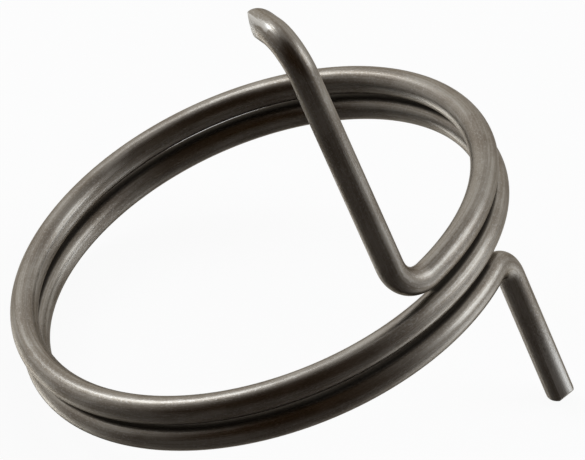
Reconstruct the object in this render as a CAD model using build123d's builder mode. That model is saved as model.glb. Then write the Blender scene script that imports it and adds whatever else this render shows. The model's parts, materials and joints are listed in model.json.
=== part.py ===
"""Torsion spring: one round steel wire, wound left-hand through about two turns.

Both legs stand along the coil's axis, the short one down from the bottom turn and the long one up from the top
turn. The long leg ends in a small hook that turns in over the coil. Both ends are sheared. The spring lies as it
rests on a table, on the short leg's end and on the far side of the bottom turn. Millimetres and degrees, +Z up.
"""

import os
from math import cos, radians, sin

from build123d import *

# The wire, and how it is wound.
wire_diameter = 2.0
coil_inner_diameter = 32.8
coil_turn_angle = 740
turn_gap = 0.38

# Short leg, bent down at the end of the bottom turn.
short_leg_bend_inside_radius = 1.1
short_leg_bend_angle = 90
short_leg_straight = 10.65
short_leg_outward_lean = 2

# Long leg, bent up at the end of the top turn.
long_leg_bend_inside_radius = 1.6
long_leg_bend_angle = 90
long_leg_straight = 16
long_leg_inward_lean = 4

# Hook at the top of the long leg. It swings back over the turn that it comes from.
hook_bend_inside_radius = 1.7
hook_bend_angle = 90
hook_straight = 1.75
hook_swing = 20

# Sheared ends. The blades leave each end face out of square, with a small bevel beside it.
# Each side is turned about the wire from the inside of the last bend. An end is longest on its slant side.
end_edge_radius = 0.2
short_end_slant = 8
short_end_slant_side = -60
short_end_bevel_depth = 0.3
short_end_bevel_length = 0.3
short_end_bevel_side = -60
hook_end_slant = 40
hook_end_slant_side = 150
hook_end_bevel_depth = 0.3
hook_end_bevel_length = 0.6
hook_end_bevel_side = 90

# Angle of each of the short arcs that the coil's path is drawn with.
coil_arc_angle = 20

# Worked out from the sizes above.
wire_radius = wire_diameter / 2
coil_radius = coil_inner_diameter / 2 + wire_radius
coil_pitch = wire_diameter + turn_gap
coil_rise = coil_pitch * coil_turn_angle / 360
coil_path_arcs = round(coil_turn_angle / coil_arc_angle)
blade_size = 4 * wire_diameter
up = Vector(0, 0, 1)

# Steps of the search for the resting position.
halvings = 40
settling_rounds = 6


def outward(point):
    """Level direction from the coil's axis out to a point of the wire."""
    return Vector(point.X, point.Y, 0).normalized()


def bend_plane(corner, along, towards):
    """Plane of a bend: the wire reaches its origin along X and is bent towards Y."""
    return Plane(origin=corner, x_dir=along, z_dir=along.cross(towards))


def leaning(direction, lean_to, lean):
    """Direction leaned a few degrees to one side."""
    return direction * cos(radians(lean)) + lean_to * sin(radians(lean))


# Centreline of the coil. It climbs from the short leg at (coil_radius, 0, 0) to the long leg.
with BuildLine() as coil_line:
    coil_helix = Helix(coil_pitch, coil_rise, coil_radius, lefthand=True)

# The same line as short arcs, each running smoothly into the next, so that the wire's surface is made of true rings.
coil_end_along = coil_helix % 0
with BuildLine() as coil_path_line:
    for arc in range(coil_path_arcs):
        coil_arc = TangentArc(
            coil_helix @ (arc / coil_path_arcs),
            coil_helix @ ((arc + 1) / coil_path_arcs),
            tangent=coil_end_along,
        )
        coil_end_along = coil_arc % 1

# Centreline of the short leg, from the coil out to past its end. The length past the end is sheared off.
short_leg_root = coil_helix @ 0
short_leg_plane = bend_plane(
    short_leg_root,
    (coil_helix % 0) * -1,
    leaning(up * -1, outward(short_leg_root), short_leg_outward_lean),
)
with BuildLine(short_leg_plane) as short_leg_line:
    short_bend = JernArc((0, 0), (1, 0), short_leg_bend_inside_radius + wire_radius, short_leg_bend_angle)
    short_run = PolarLine(short_bend @ 1, short_leg_straight + wire_radius, direction=short_bend % 1)
short_tip = short_run @ 0 + (short_run % 0) * short_leg_straight

# Centreline of the long leg, from the coil up to the hook.
long_leg_root = coil_helix @ 1
long_leg_plane = bend_plane(
    long_leg_root,
    coil_end_along,
    leaning(up, outward(long_leg_root) * -1, long_leg_inward_lean),
)
with BuildLine(long_leg_plane) as long_leg_line:
    long_bend = JernArc((0, 0), (1, 0), long_leg_bend_inside_radius + wire_radius, long_leg_bend_angle)
    long_run = PolarLine(long_bend @ 1, long_leg_straight, direction=long_bend % 1)

# Centreline of the hook.
hook_root = long_run @ 1
hook_side = (outward(long_leg_root) * -1).rotate(Axis((0, 0, 0), long_run % 1), -hook_swing)
hook_plane = bend_plane(hook_root, long_run % 1, hook_side)
with BuildLine(hook_plane) as hook_line:
    hook_bend = JernArc((0, 0), (1, 0), hook_bend_inside_radius + wire_radius, hook_bend_angle)
    hook_run = PolarLine(hook_bend @ 1, hook_straight + wire_radius, direction=hook_bend % 1)
hook_tip = hook_run @ 0 + (hook_run % 0) * hook_straight


def side_of(run, plane, turn):
    """Direction square to a run, turned about it from the inside of the bend before it."""
    return plane.z_dir.cross(run % 0).rotate(Axis((0, 0, 0), run % 0), turn)


def sheared(point, facing):
    """Takes away everything past a flat cut through a point."""
    with BuildSketch(Plane(origin=point, z_dir=facing)) as blade:
        Rectangle(blade_size, blade_size)
    extrude(blade.sketch, amount=blade_size, mode=Mode.SUBTRACT)


def cut_end(tip, along, slant, slant_side, bevel_depth, bevel_length, bevel_side):
    """Shears an end of the wire out of square, rounds its edge and bevels one side of it."""
    sheared(tip, leaning(along, slant_side * -1, slant))
    end_face = faces().sort_by_distance(tip)[0]
    fillet(end_face.edges(), end_edge_radius)
    bevel_edge = tip + bevel_side * (wire_radius - bevel_depth)
    sheared(bevel_edge, bevel_side * bevel_length + along * bevel_depth)


# Centreline of the whole wire, from past the short leg's end to past the hook's.
wire_path = Wire(
    [short_run, short_bend, *coil_path_line.edges(), long_bend, long_run, hook_bend, hook_run]
)

# The wire, standing on the coil's own axis.
with BuildPart() as wound_wire:
    with BuildSketch(Plane(origin=wire_path @ 0, z_dir=wire_path % 0)):
        Circle(wire_radius)
    sweep(path=wire_path)
    cut_end(
        short_tip,
        short_run % 0,
        short_end_slant,
        side_of(short_run, short_leg_plane, short_end_slant_side),
        short_end_bevel_depth,
        short_end_bevel_length,
        side_of(short_run, short_leg_plane, short_end_bevel_side),
    )
    cut_end(
        hook_tip,
        hook_run % 0,
        hook_end_slant,
        side_of(hook_run, hook_plane, hook_end_slant_side),
        hook_end_bevel_depth,
        hook_end_bevel_length,
        side_of(hook_run, hook_plane, hook_end_bevel_side),
    )

balance_point = wound_wire.part.center(CenterOf.MASS)


def foot_on(table_normal):
    """Where a centreline would end that met the table as the rounded edge of the short leg's end does."""
    along = short_run % 0
    lowest_side = (along * table_normal.dot(along) - table_normal).normalized()
    edge_centre = short_tip - along * end_edge_radius + lowest_side * (wire_radius - end_edge_radius)
    return edge_centre + table_normal * (wire_radius - end_edge_radius)


def table_under(foot, rim_share):
    """Upward normal of the table that touches the foot and the coil at a share of its length."""
    normal = (foot - coil_helix @ rim_share).cross(coil_helix % rim_share).normalized()
    return normal if normal.Z > 0 else normal * -1


def tipping(foot, rim_share):
    """Moment of the weight about the line from the coil's touching point to the foot."""
    reach = foot - coil_helix @ rim_share
    return (balance_point - coil_helix @ rim_share).dot(table_under(foot, rim_share).cross(reach))


def rim_in_balance(foot):
    """Share of the coil's length at which it touches the table when nothing tips it."""
    near, far = 90 / coil_turn_angle, 270 / coil_turn_angle
    near_sign = tipping(foot, near) > 0
    for _ in range(halvings):
        middle = (near + far) / 2
        if (tipping(foot, middle) > 0) == near_sign:
            near = middle
        else:
            far = middle
    return (near + far) / 2


# Table that the spring comes to rest on. Its X axis runs from the coil's touching point to the foot.
table_normal = up
for _ in range(settling_rounds):
    foot = foot_on(table_normal)
    rim_share = rim_in_balance(foot)
    table_normal = table_under(foot, rim_share)
rim = coil_helix @ rim_share
table = Plane(origin=rim - table_normal * wire_radius, x_dir=foot - rim, z_dir=table_normal)
resting_wire = table.to_local_coords(wound_wire.part)
footprint = resting_wire.bounding_box()

# The finished spring, resting on Z = 0 with the middle of its footprint at the origin.
with BuildPart(Plane((-footprint.center().X, -footprint.center().Y, -footprint.min.Z))) as spring_wire:
    add(resting_wire)
spring_wire.part.label = "spring_wire"

os.makedirs("parts", exist_ok=True)
export_step(spring_wire.part, "parts/spring_wire.step")
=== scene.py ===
import json
from math import cos, pi, radians, sin

import bpy
import numpy as np
from mathutils import Matrix, Vector


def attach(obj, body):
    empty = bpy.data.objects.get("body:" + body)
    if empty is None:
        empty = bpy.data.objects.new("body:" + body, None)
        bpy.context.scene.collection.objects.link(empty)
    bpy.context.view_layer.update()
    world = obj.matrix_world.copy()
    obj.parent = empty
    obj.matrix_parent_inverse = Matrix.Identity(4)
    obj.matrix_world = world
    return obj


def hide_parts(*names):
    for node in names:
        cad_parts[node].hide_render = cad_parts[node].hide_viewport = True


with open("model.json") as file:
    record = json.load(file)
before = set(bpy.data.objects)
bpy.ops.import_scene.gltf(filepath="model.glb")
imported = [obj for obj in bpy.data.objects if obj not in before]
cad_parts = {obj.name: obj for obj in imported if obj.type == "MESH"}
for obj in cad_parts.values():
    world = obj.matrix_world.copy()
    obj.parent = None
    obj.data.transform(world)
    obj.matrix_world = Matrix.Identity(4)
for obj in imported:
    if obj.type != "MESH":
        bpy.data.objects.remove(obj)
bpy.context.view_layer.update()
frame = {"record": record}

# Camera of the photograph: its place in metres, and its directions to the right and up.
camera_place = (0.052522, -0.293478, 0.256764)
camera_right = Vector((0.981477, 0.190838, 0.016779))
camera_up = Vector((-0.134174, 0.622201, 0.771281))

# Picture and lens, in pixels, with the sensor's width in millimetres and the range of sight in metres.
picture_width = 585
picture_height = 460
focal_pixels = 5500
sensor_width = 36
nearest_seen = 0.01
farthest_seen = 10

scene = bpy.context.scene
camera_data = bpy.data.cameras.new("photo_camera")
camera = bpy.data.objects.new("photo_camera", camera_data)
scene.collection.objects.link(camera)
camera_back = camera_right.cross(camera_up).normalized()
camera_up = camera_back.cross(camera_right).normalized()
camera_right = camera_up.cross(camera_back)
camera_turn = Matrix((camera_right, camera_up, camera_back)).transposed().to_4x4()
camera.matrix_world = Matrix.Translation(camera_place) @ camera_turn
camera_data.sensor_width = sensor_width
camera_data.lens = focal_pixels / picture_width * sensor_width
camera_data.clip_start = nearest_seen
camera_data.clip_end = farthest_seen
scene.camera = camera
scene.render.resolution_x = picture_width
scene.render.resolution_y = picture_height
scene.view_settings.view_transform = "Standard"

# The wire and its winding, in metres and degrees.
full_turn = 360
wire_radius = 0.001
coil_radius = 0.0174
coil_turn_angle = 740
coil_pitch = 0.00238
coil_rise = coil_pitch * coil_turn_angle / full_turn
short_bend_radius = 0.0021
short_straight = 0.01065
short_outward_lean = 2
long_bend_radius = 0.0026
long_straight = 0.016
long_inward_lean = 4
hook_bend_radius = 0.0027
hook_straight = 0.00175
hook_swing = 20
bend_angle = 90

# Sheared ends: a slant and a bevel beside it. Their sides are turned from the inside of the last bend.
end_edge_radius = 0.0002
short_end_cut = {
    "slant": 8,
    "slant_side": -60,
    "bevel_depth": 0.0003,
    "bevel_length": 0.0003,
    "bevel_side": -60,
}
hook_end_cut = {
    "slant": 40,
    "slant_side": 150,
    "bevel_depth": 0.0003,
    "bevel_length": 0.0006,
    "bevel_side": 90,
}

# Fineness of the mesh.
wire_sides = 64
coil_steps = 370
bend_steps = 30
edge_steps = 5

# Tolerances, in metres and degrees. The reach of a ring of points has a little to spare.
ring_reach = wire_radius * 1.001
cut_tolerance = 1e-8
merge_distance = 1e-7
crease_angle = 35

# How many points each stretch of the centreline has, from the short leg's end to the hook's.
points_on_short_leg = 40
points_on_bend = 40
points_on_coil = 900
points_on_long_leg = 60
points_on_hook = 12
points_before_coil = 1 + points_on_short_leg + points_on_bend

up = Vector((0, 0, 1))


def turned(vector, axis, angle):
    """A vector turned about an axis through the origin, by degrees."""
    return Matrix.Rotation(radians(angle), 3, axis) @ vector


def outward(point):
    """Level direction from the coil's axis to a point of the wire."""
    return Vector((point.x, point.y, 0)).normalized()


def helix_point(share):
    """Point of the coil's centreline at a share of its length."""
    angle = radians(coil_turn_angle) * share
    return Vector((coil_radius * cos(angle), -coil_radius * sin(angle), coil_rise * share))


def helix_tangent(share):
    """Direction of the coil's centreline at a share of its length."""
    angle = radians(coil_turn_angle) * share
    speed = coil_radius * radians(coil_turn_angle)
    return Vector((-speed * sin(angle), -speed * cos(angle), coil_rise)).normalized()


def leaning(direction, lean_to, lean):
    """Direction leaned a few degrees to one side."""
    return direction * cos(radians(lean)) + lean_to * sin(radians(lean))


class Bend:
    """A bend of the wire, with its centre and axis, and where and in which direction the wire leaves it."""

    def __init__(self, start, along, towards, radius):
        self.along = along
        self.axis = along.cross(towards).normalized()
        self.onward = self.axis.cross(along).normalized()
        self.radius = radius
        self.centre = start + self.onward * radius
        self.end = self.centre + along * radius

    def point(self, angle):
        """Point of the bend's centreline, by degrees from its start."""
        inward = self.onward * self.radius * cos(radians(angle))
        forward = self.along * self.radius * sin(radians(angle))
        return self.centre - inward + forward


short_root = helix_point(0)
short_bend = Bend(
    short_root,
    helix_tangent(0) * -1,
    leaning(up * -1, outward(short_root), short_outward_lean),
    short_bend_radius,
)
short_tip = short_bend.end + short_bend.onward * short_straight

long_root = helix_point(1)
long_bend = Bend(
    long_root,
    helix_tangent(1),
    leaning(up, outward(long_root) * -1, long_inward_lean),
    long_bend_radius,
)
hook_root = long_bend.end + long_bend.onward * long_straight
hook_bend = Bend(
    hook_root,
    long_bend.onward,
    turned(outward(long_root) * -1, long_bend.onward, -hook_swing),
    hook_bend_radius,
)
hook_tip = hook_bend.end + hook_bend.onward * hook_straight


def even_shares(count):
    """Shares of a length, from its start to just before its end."""
    return [k / count for k in range(count)]


def along_run(bend, length, share):
    """Point of the centreline on the straight run after a bend."""
    return bend.end + bend.onward * length * share


def centreline():
    """Points along the whole wire, from past the short leg's end to past the hook's."""
    points = [short_tip + short_bend.onward * wire_radius]
    points += [along_run(short_bend, short_straight, 1 - share) for share in even_shares(points_on_short_leg)]
    points += [short_bend.point(bend_angle * (1 - share)) for share in even_shares(points_on_bend)]
    points += [helix_point(share) for share in even_shares(points_on_coil)]
    points += [long_bend.point(bend_angle * share) for share in even_shares(points_on_bend)]
    points += [along_run(long_bend, long_straight, share) for share in even_shares(points_on_long_leg)]
    points += [hook_bend.point(bend_angle * share) for share in even_shares(points_on_bend)]
    points += [along_run(hook_bend, hook_straight, share) for share in even_shares(points_on_hook)]
    points += [hook_tip, hook_tip + hook_bend.onward * wire_radius]
    return np.array(points)


def select_points(piece, wanted):
    """In edit mode, selects the points of a piece that pass a test of their place."""
    bpy.ops.object.mode_set(mode="EDIT")
    bpy.ops.mesh.select_mode(type="VERT")
    bpy.ops.mesh.select_all(action="DESELECT")
    bpy.ops.object.mode_set(mode="OBJECT")
    for vertex in piece.data.vertices:
        vertex.select = wanted(vertex.co)
    bpy.ops.object.mode_set(mode="EDIT")


def bend_on(bend):
    """Carries the selected ring of the wire round a bend."""
    bpy.ops.mesh.spin(
        steps=bend_steps, angle=-radians(bend_angle), center=bend.centre, axis=bend.axis, use_auto_merge=False
    )


def straight_on(bend, length):
    """Carries the selected ring of the wire straight on from a bend."""
    bpy.ops.mesh.extrude_region_move(TRANSFORM_OT_translate={"value": bend.onward * length})


# How far back into the bend, and out from the centreline, a run of the wire is taken to reach.
run_overlap = wire_radius * 0.4
run_width = wire_radius * 1.1


def last_run(bend):
    """Test for points of the straight run that follows the last bend before an end."""

    def wanted(place):
        along = (place - bend.end).dot(bend.onward)
        aside = (place - bend.end - bend.onward * along).length
        return along > -run_overlap and aside < run_width

    return wanted


# The wire: a ring of points, wound into the coil.
bpy.ops.object.select_all(action="DESELECT")
bpy.ops.mesh.primitive_circle_add(
    vertices=wire_sides,
    radius=wire_radius,
    location=helix_point(0),
    rotation=helix_tangent(0).to_track_quat("Z", "Y").to_euler(),
)
wire = bpy.context.active_object
wire.name = "tempered_wire"
bpy.ops.object.transform_apply(location=True, rotation=True, scale=True)
winding = wire.modifiers.new("winding", "SCREW")
winding.axis = "Z"
winding.angle = -radians(coil_turn_angle)
winding.screw_offset = coil_rise
winding.steps = coil_steps
winding.render_steps = coil_steps
bpy.ops.object.modifier_apply(modifier="winding")

# Legs and hook, each carried on from the ring of points at the coil's end.
select_points(wire, lambda place: (place - long_root).length < ring_reach)
bend_on(long_bend)
straight_on(long_bend, long_straight)
bend_on(hook_bend)
straight_on(hook_bend, hook_straight + wire_radius)
select_points(wire, lambda place: (place - short_root).length < ring_reach)
bend_on(short_bend)
straight_on(short_bend, short_straight + wire_radius)


def sheared(point, facing):
    """Cuts the selected run flat through a point and takes away what is past it."""
    bpy.ops.mesh.bisect(
        plane_co=point, plane_no=facing, use_fill=True, clear_outer=True, threshold=cut_tolerance
    )


def side_of(bend, turn):
    """Direction square to the run after a bend, turned about it from the inside of the bend."""
    return turned(bend.axis.cross(bend.onward), bend.onward, turn)


def cut_end(tip, bend, cut):
    """Shears an end out of square, rounds its edge and bevels one side of it."""
    select_points(wire, last_run(bend))
    sheared(tip, leaning(bend.onward, side_of(bend, cut["slant_side"]) * -1, cut["slant"]))
    bpy.ops.mesh.bevel(offset=end_edge_radius, segments=edge_steps, affect="EDGES")
    select_points(wire, last_run(bend))
    bevel_side = side_of(bend, cut["bevel_side"])
    sheared(
        tip + bevel_side * (wire_radius - cut["bevel_depth"]),
        (bevel_side * cut["bevel_length"] + bend.onward * cut["bevel_depth"]).normalized(),
    )


cut_end(hook_tip, hook_bend, hook_end_cut)
cut_end(short_tip, short_bend, short_end_cut)
bpy.ops.mesh.select_all(action="SELECT")
bpy.ops.mesh.remove_doubles(threshold=merge_distance)
bpy.ops.mesh.normals_make_consistent(inside=False)
bpy.ops.object.mode_set(mode="OBJECT")

# Placing the coil as it lies on the table, by the coil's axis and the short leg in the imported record.
mounts = {mount["name"]: mount for mount in frame["record"]["mounts"]}
coil_axis = Vector(mounts["coil_axis"]["axis"]).normalized()
coil_base = Vector(mounts["coil_axis"]["pos_m"]) - coil_axis * coil_rise / 2
leg_middle = (short_bend.end + short_tip) / 2
leg_side = Vector(mounts["short_leg"]["pos_m"]) - coil_base
leg_side = (leg_side - coil_axis * leg_side.dot(coil_axis)).normalized()
leg_angle = Vector((leg_middle.x, leg_middle.y)).angle_signed(Vector((1, 0)))
coil_x = Matrix.Rotation(-leg_angle, 3, coil_axis) @ leg_side
coil_y = coil_axis.cross(coil_x)
on_table = Matrix.Translation(coil_base) @ Matrix((coil_x, coil_y, coil_axis)).transposed().to_4x4()
wire.matrix_world = on_table
bpy.context.view_layer.update()
bpy.ops.object.transform_apply(location=True, rotation=True, scale=True)

# Where each point of the wire was while the wire was straight: metres along it, then across it both ways.
line = np.array([on_table @ Vector(point) for point in centreline()])
steps = np.diff(line, axis=0)
line_length = np.concatenate(([0], np.cumsum(np.linalg.norm(steps, axis=1))))
line_along = np.gradient(line, axis=0)
line_along /= np.linalg.norm(line_along, axis=1)[:, None]
first_side = np.cross(line_along[0], up)
line_side = [first_side / np.linalg.norm(first_side)]
for along in line_along[1:]:
    carried = line_side[-1] - along * (line_side[-1] @ along)
    line_side.append(carried / np.linalg.norm(carried))
line_side = np.array(line_side)
line_other = np.cross(line_along, line_side)
places = np.array([vertex.co for vertex in wire.data.vertices])
straightened = np.empty_like(places)
nearest_point = np.empty(len(places), dtype=int)

# Each point is matched with the nearest one of the centreline, in batches that save memory.
batch_size = 2000
for start in range(0, len(places), batch_size):
    rows = slice(start, start + batch_size)
    batch = places[rows]
    nearest = np.linalg.norm(batch[:, None] - line[None], axis=2).argmin(axis=1)
    nearest_point[rows] = nearest
    offset = batch - line[nearest]
    straightened[rows, 0] = line_length[nearest] + np.sum(offset * line_along[nearest], axis=1)
    straightened[rows, 1] = np.sum(offset * line_side[nearest], axis=1)
    straightened[rows, 2] = np.sum(offset * line_other[nearest], axis=1)
as_drawn = wire.data.attributes.new("as_drawn", "FLOAT_VECTOR", "POINT")
as_drawn.data.foreach_set("vector", straightened.astype(np.float32).ravel())

# Painted shade between the turns: from 0 on the open wire to 1 along the lines where the turns nearly touch.
crevice_shade_start = 0.82
crevice_shade_fade = 0.15
along_coil = (nearest_point - points_before_coil) / points_on_coil
facing_turn = (places - line[nearest_point]) @ np.array(coil_axis) / wire_radius
turn_above = (along_coil > 0) & (along_coil < 1 - full_turn / coil_turn_angle)
turn_below = (along_coil < 1) & (along_coil > full_turn / coil_turn_angle)
crevice_depth = np.where(turn_above, facing_turn, 0)
crevice_depth = np.maximum(crevice_depth, np.where(turn_below, -facing_turn, 0))
painted_crevice_shade = wire.data.attributes.new("painted_crevice_shade", "FLOAT", "POINT")
painted_crevice_shade.data.foreach_set("value", np.clip((crevice_depth - crevice_shade_start) / crevice_shade_fade, 0, 1).astype(np.float32))

# Bare steel on the faces that the shears left, the only ones with many corners, and lighter marks beside
# them: a scuff on the short leg's end, and painted highlights on the hook.
cut_face_corners = 8
mark_width = 0.0002
mark_widths_to_clear = 1.8
mark_strength = 0.8

# A mark runs between two places on an end: metres back from its tip, and degrees from the bend's inside.
scuffs_and_highlights = [
    # Painted highlights along the hook's straight end, in bare steel's colour.
    (hook_tip, hook_bend, (0.0008, 160), (0.0025, 150)),
    (hook_tip, hook_bend, (0.0010, 110), (0.0015, 95)),
    # A scuff at the short leg's sheared end.
    (short_tip, short_bend, (0.0004, -80), (0.0002, -60)),
]


def on_end(tip, bend, back, turn):
    """Place on the surface of an end of the wire, where it lies on the table."""
    return np.array(on_table @ (tip - bend.onward * back + side_of(bend, turn) * wire_radius))


bareness_and_highlight = np.zeros(len(places))
for tip, bend, mark_start, mark_end in scuffs_and_highlights:
    start_place = on_end(tip, bend, *mark_start)
    mark_run = on_end(tip, bend, *mark_end) - start_place
    share = np.clip((places - start_place) @ mark_run / (mark_run @ mark_run), 0, 1)
    away = np.linalg.norm(places - start_place - share[:, None] * mark_run, axis=1)
    marked = mark_strength * np.clip(mark_widths_to_clear - away / mark_width, 0, 1)
    bareness_and_highlight = np.maximum(bareness_and_highlight, marked)
for face in wire.data.polygons:
    if face.loop_total > cut_face_corners:
        bareness_and_highlight[list(face.vertices)] = 1
bare_and_highlight = wire.data.attributes.new("bare_and_highlight", "FLOAT", "POINT")
bare_and_highlight.data.foreach_set("value", bareness_and_highlight.astype(np.float32))
bpy.ops.object.shade_smooth_by_angle(angle=radians(crease_angle))


class Value:
    """A node's output. Arithmetic on it makes further nodes."""

    def __init__(self, look, socket):
        self.look = look
        self.socket = socket

    def math(self, operation, *others):
        """One step of arithmetic that starts from this value."""
        return self.look.math(operation, self, *others)

    def __add__(self, other):
        return self.look.math("ADD", self, other)

    def __radd__(self, other):
        return self.look.math("ADD", other, self)

    def __sub__(self, other):
        return self.look.math("SUBTRACT", self, other)

    def __rsub__(self, other):
        return self.look.math("SUBTRACT", other, self)

    def __mul__(self, other):
        return self.look.math("MULTIPLY", self, other)

    def __rmul__(self, other):
        return self.look.math("MULTIPLY", other, self)

    def span(self, low, high, to_low=0.0, to_high=1.0):
        """This value's range from low to high, carried smoothly to another range."""
        return self.look.node(
            "ShaderNodeMapRange", (self, low, high, to_low, to_high), interpolation_type="SMOOTHSTEP"
        )


# The Mix node's sockets share their names, so those for colours are given by number.
share_socket = 0
first_colour_socket = 6
second_colour_socket = 7
mixed_colour_socket = 2


class Look:
    """Nodes of a material, or of the world, under construction. One method makes any node."""

    def __init__(self, owner):
        self.owner = owner
        owner.use_nodes = True
        self.tree = owner.node_tree
        self.tree.nodes.clear()

    def feed(self, node, slots, values):
        """Links or sets a node's inputs."""
        for slot, value in zip(slots, values):
            if isinstance(value, Value):
                self.tree.links.new(value.socket, node.inputs[slot])
            else:
                node.inputs[slot].default_value = value

    def node(self, kind, values=(), result=0, **settings):
        """Makes a node from its settings and its inputs, given in order or by name, and gives one output."""
        node = self.tree.nodes.new(kind)
        for setting, value in settings.items():
            setattr(node, setting, value)
        if isinstance(values, dict):
            self.feed(node, values.keys(), values.values())
        else:
            self.feed(node, range(len(values)), values)
        return Value(self, node.outputs[result])

    def math(self, operation, *values):
        """One step of arithmetic, on numbers or on vectors."""
        on_vectors = any(isinstance(value, Value) and value.socket.type == "VECTOR" for value in values)
        kind = "ShaderNodeVectorMath" if on_vectors else "ShaderNodeMath"
        result = "Value" if operation == "DOT_PRODUCT" else 0
        return self.node(kind, values, result, operation=operation)

    def noise(self, where, detail, roughness):
        """Smooth noise from 0 to 1."""
        return self.node(
            "ShaderNodeTexNoise", {"Vector": where, "Scale": 1.0, "Detail": detail, "Roughness": roughness}
        )

    def mix(self, share, first, second):
        """Colour between two others."""
        return self.node(
            "ShaderNodeMix",
            {share_socket: share, first_colour_socket: first, second_colour_socket: second},
            mixed_colour_socket,
            data_type="RGBA",
        )

    def finish(self, shader, output="ShaderNodeOutputMaterial"):
        """Links the finished shader to the surface."""
        self.tree.links.new(shader.socket, self.tree.nodes.new(output).inputs["Surface"])
        return self.owner


# Colours of dark oil-tempered steel, of the marks on it, of the shade painted between the turns, and of bare
# steel where it was sheared, which also paints highlights on the hook.
dark_oxide = (0.2, 0.176, 0.149, 1)
light_oxide = (0.32, 0.297, 0.261, 1)
brown_streak = (0.136, 0.106, 0.074, 1)
bright_line = (0.36, 0.33, 0.29, 1)
bright_fleck = (0.36, 0.34, 0.31, 1)
# The next colour is painted shade between the turns.
crevice_shade_colour = (0.03, 0.024, 0.018, 1)
bare_steel_and_highlight = (0.5, 0.48, 0.445, 1)
edge_tint = (0.75, 0.7, 0.63, 1)

# How often each pattern of the steel varies, in each metre along the drawn wire and across it both ways.
die_line_rate = (45, 5200, 5200)
fine_line_rate = (160, 14000, 14000)
patch_rate = (260, 700, 700)
grain_rate = (5200, 9000, 9000)

# The part of each pattern's range over which the steel's colour, its gloss or its edges change.
patch_contrast = (0.35, 0.65)
die_line_contrast = (0.35, 0.65)
fine_line_contrast = (0.42, 0.68)
grain_contrast = (0.5, 0.7)
gloss_contrast = (0.2, 0.8)
crevice_shade_contrast = (0.15, 0.9)
bare_and_highlight_contrast = (0.25, 0.85)

# How far noise, taken about its middle, tears the edges of the painted shade between the turns and of the
# bare steel and painted highlights.
noise_middle = 0.5
crevice_shade_raggedness = 0.6
bare_and_highlight_raggedness = 0.7

# How strongly each pattern shows in the steel's colour.
streak_share = 0.55
fine_line_share = 0.25
fleck_share = 0.65
crevice_shade_share = 0.8

# Relief of the steel, with its depth in metres, and its roughness from polished lines to dull ones, raised
# where shade is painted between the turns.
die_line_relief = 0.5
fine_line_relief = 0.25
grain_relief = 0.45
relief_strength = 0.45
relief_depth = 0.00002
polished_roughness = 0.25
dull_roughness = 0.38
crevice_roughness = 0.4

# The steel: oxide over a drawn surface, with streaks, lines and flecks, painted shade between the turns, and
# bare steel and painted highlights on top.
steel = Look(bpy.data.materials.new("tempered_steel"))
drawn_place = steel.node("ShaderNodeAttribute", result="Vector", attribute_name="as_drawn")
# Bare steel with the hook's painted highlights, carried by the wire's points.
bare_and_highlight_in = steel.node("ShaderNodeAttribute", result="Fac", attribute_name="bare_and_highlight")
# Painted shade between the turns, carried by the wire's points.
shade_between_turns = steel.node("ShaderNodeAttribute", result="Fac", attribute_name="painted_crevice_shade")
die_lines = steel.noise(drawn_place * die_line_rate, detail=3.0, roughness=0.6)
fine_lines = steel.noise(drawn_place * fine_line_rate, detail=2.0, roughness=0.6)
patches = steel.noise(drawn_place * patch_rate, detail=4.0, roughness=0.6)
grain = steel.noise(drawn_place * grain_rate, detail=2.0, roughness=0.7)
oxide = steel.mix(patches.span(*patch_contrast), dark_oxide, light_oxide)
streaked = steel.mix(die_lines.span(*die_line_contrast) * streak_share, oxide, brown_streak)
lined = steel.mix(fine_lines.span(*fine_line_contrast) * fine_line_share, streaked, bright_line)
flecked = steel.mix(grain.span(*grain_contrast) * fleck_share, lined, bright_fleck)
# Painted shade between the turns, its edges torn by the patches' noise.
crevice_shade_mask = (shade_between_turns + (patches - noise_middle) * crevice_shade_raggedness).span(*crevice_shade_contrast)
crevice_shaded = steel.mix(crevice_shade_mask * crevice_shade_share, flecked, crevice_shade_colour)
# Bare steel on the cut faces and the short leg's scuff, with painted highlights on the hook.
bare_and_highlight_mask = (bare_and_highlight_in + (grain - noise_middle) * bare_and_highlight_raggedness).span(*bare_and_highlight_contrast)
relief = die_lines * die_line_relief + fine_lines * fine_line_relief + grain * grain_relief
steel_bump = steel.node(
    "ShaderNodeBump", {"Strength": relief_strength, "Distance": relief_depth, "Height": relief}
)
roughness = die_lines.span(*gloss_contrast, polished_roughness, dull_roughness) + crevice_shade_mask * crevice_roughness
steel_shader = steel.node(
    "ShaderNodeBsdfPrincipled",
    {
        "Base Color": steel.mix(bare_and_highlight_mask, crevice_shaded, bare_steel_and_highlight),
        "Metallic": 1.0,
        "Specular Tint": edge_tint,
        "Roughness": roughness,
        "Normal": steel_bump,
    },
)
wire.data.materials.append(steel.finish(steel_shader))

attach(wire, "root")
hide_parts("spring_wire")

# Level directions from the spring to the camera's side of the room, and to the camera's right.
room_front = Vector((camera_back.x, camera_back.y, 0)).normalized()
room_right = up.cross(room_front)

# The room: its colours, and between which directions it brightens, in radians round from the camera's side.
room_dark = (0.036, 0.02, 0.009, 1)
room_white = (1, 1, 1, 1)
right_edge = (0.75, 1.55)
right_brightness = 0.86
left_edge = (0.9, 2.15)
left_brightness = 1.0

# Heights between which the room dims towards its ceiling, where straight up is 1.
ceiling_edge = (0.7, 0.97)
ceiling_brightness = 0.5


def room_light(direction):
    """How light the room is: white behind the spring and on its right, dark on the camera's side."""
    ahead = direction.math("DOT_PRODUCT", room_front)
    aside = direction.math("DOT_PRODUCT", room_right)
    turn = aside.math("ARCTAN2", ahead)
    on_right = turn.span(*right_edge, 0.0, right_brightness)
    on_left = (turn * -1).span(*left_edge, 0.0, left_brightness)
    return on_right.math("MAXIMUM", on_left)


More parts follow.
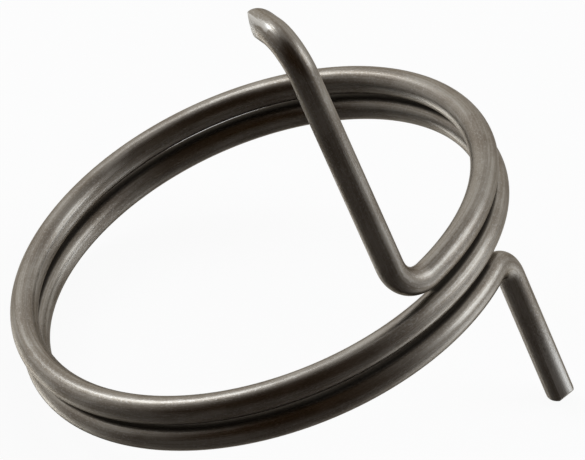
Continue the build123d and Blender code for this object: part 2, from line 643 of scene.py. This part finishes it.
# Table, white to the camera but for the spring's soft shadow. The metal sees the room mirrored in its gloss.
table_size = 3
matt_white = (0.9, 0.9, 0.9, 1)
gloss_white = (0.75, 0.75, 0.75, 1)
gloss_roughness = 0.3
mirrored_share = 0.93
white_share = 0.93
bpy.ops.mesh.primitive_plane_add(size=table_size)
table = bpy.context.active_object
table.name = "white_table"
sheet = Look(bpy.data.materials.new("glossy_white"))
sheet_seen = sheet.node("ShaderNodeLightPath", result="Is Camera Ray")
sheet_mirrored = sheet.node("ShaderNodeLightPath", result="Is Glossy Ray")
sheet_through = sheet.node("ShaderNodeLightPath", result="Is Transmission Ray")
sheet_matt = sheet.node("ShaderNodeBsdfDiffuse", {"Color": matt_white})
sheet_gloss = sheet.node("ShaderNodeBsdfGlossy", {"Color": gloss_white, "Roughness": gloss_roughness})
sheet_white = sheet.node("ShaderNodeEmission", {"Color": room_white, "Strength": 1.0})
sheet_body = sheet.node("ShaderNodeMixShader", (sheet_mirrored * mirrored_share, sheet_matt, sheet_gloss))
sheet_share = sheet_seen.math("MAXIMUM", sheet_through) * white_share
sheet_shader = sheet.node("ShaderNodeMixShader", (sheet_share, sheet_body, sheet_white))
table.data.materials.append(sheet.finish(sheet_shader))

# Room round the table, white to the camera on every side.
world = bpy.data.worlds.new("room")
scene.world = world
room = Look(world)
room_direction = room.node("ShaderNodeTexCoord", result="Generated")
room_height = room_direction.math("DOT_PRODUCT", up)
room_share = room_light(room_direction) * room_height.span(*ceiling_edge, 1.0, ceiling_brightness)
room_colour = room.mix(room_share, room_dark, room_white)
room_seen = room.node("ShaderNodeLightPath", result="Is Camera Ray")
room_shader = room.node(
    "ShaderNodeBackground", {"Color": room.mix(room_seen, room_colour, room_white), "Strength": 1.0}
)
room.finish(room_shader, "ShaderNodeOutputWorld")

# Lamps, each placed by degrees to the right of the camera and by degrees above the table.
box_distance = 0.6
box_colour = (0.92, 1.0, 1.1)


def soft_box(name, side, height, width, tall, brightness):
    """Area lamp that faces the spring, as many times brighter than white paper as its brightness says."""
    level = room_front * cos(radians(side)) + room_right * sin(radians(side))
    towards = level * cos(radians(height)) + up * sin(radians(height))
    lamp_data = bpy.data.lights.new(name, "AREA")
    lamp_data.shape = "RECTANGLE"
    lamp_data.size = width
    lamp_data.size_y = tall
    lamp_data.color = box_colour
    lamp_data.energy = brightness * pi * width * tall
    lamp = bpy.data.objects.new(name, lamp_data)
    scene.collection.objects.link(lamp)
    lamp.visible_camera = False
    lamp.location = towards * box_distance
    lamp.rotation_euler = towards.to_track_quat("Z", "Y").to_euler()


soft_box("right_box", side=99, height=31, width=0.36, tall=0.38, brightness=1.9)
soft_box("left_box", side=-126, height=40, width=0.22, tall=0.24, brightness=4.6)
